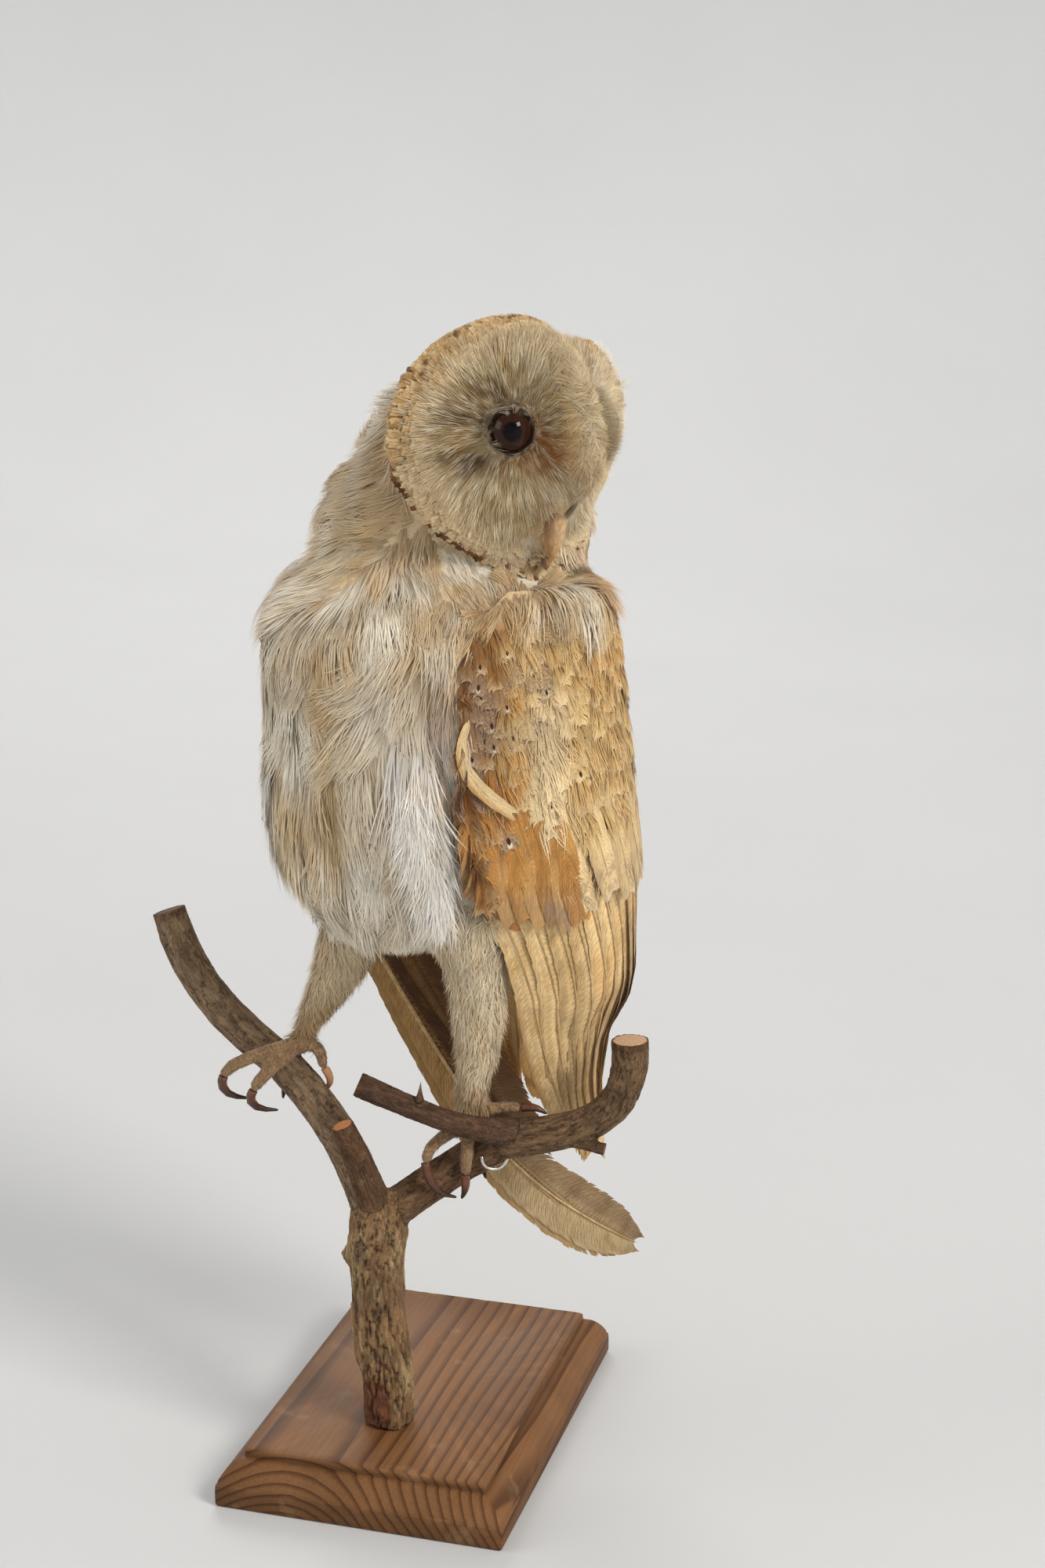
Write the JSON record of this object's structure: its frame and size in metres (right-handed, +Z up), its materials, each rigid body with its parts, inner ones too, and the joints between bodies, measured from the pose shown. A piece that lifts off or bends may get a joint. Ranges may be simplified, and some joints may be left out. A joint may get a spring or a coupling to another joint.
{
  "type": "taxidermy barn owl",
  "caption": "Still, life-size stuffed barn owl with folded wings and turned head, gripping a forked branch fixed to an oblong moulded wooden plinth.",
  "frame": {"origin": "middle of the plinth's underside, on the floor", "axes": "+X along the plinth's short side, +Y along its long side towards the back of the specimen, +Z up"},
  "size_m": [0.2015, 0.17, 0.4625],
  "materials": {
    "plinth_wood": "satin varnish",
    "bark": "rough bark",
    "wire": "bright drawn wire",
    "cream_feathers": "soft feathers",
    "buff_feathers": "soft feathers",
    "quills": "stiff flight feathers",
    "foot_skin": "dry, bristly skin",
    "claw_horn": "polished horn",
    "bill_horn": "pale horn",
    "eye_glass": "polished, backed with black"
  },
  "bodies": {
    "root": {"bill_lower": "bill_horn", "bill_upper": "bill_horn", "claw_left_hind": "claw_horn", "claw_left_inner": "claw_horn", "claw_left_middle": "claw_horn", "claw_left_outer": "claw_horn", "claw_right_hind": "claw_horn", "claw_right_inner": "claw_horn", "claw_right_middle": "claw_horn", "claw_right_outer": "claw_horn", "eye_left": "eye_glass", "eye_right": "eye_glass", "foot_left": "foot_skin", "foot_right": "foot_skin", "head": "cream_feathers", "neck": "cream_feathers", "quill_splayed": "quills", "shank_left": "cream_feathers", "shank_right": "cream_feathers", "stand_arm_front": "bark", "stand_arm_rear": "bark", "stand_foot_wire": "wire", "stand_limb_left": "bark", "stand_limb_right": "bark", "stand_plinth": "plinth_wood", "stand_snag": "bark", "stand_stub": "bark", "stand_trunk": "bark", "tail": "quills", "toe_left_hind": "foot_skin", "toe_left_inner": "foot_skin", "toe_left_middle": "foot_skin", "toe_left_outer": "foot_skin", "toe_right_hind": "foot_skin", "toe_right_inner": "foot_skin", "toe_right_middle": "foot_skin", "toe_right_outer": "foot_skin", "trunk": "cream_feathers", "wing_left_arm": "buff_feathers", "wing_left_flight": "quills", "wing_right_arm": "buff_feathers", "wing_right_flight": "quills"}
  },
  "joints": []
}
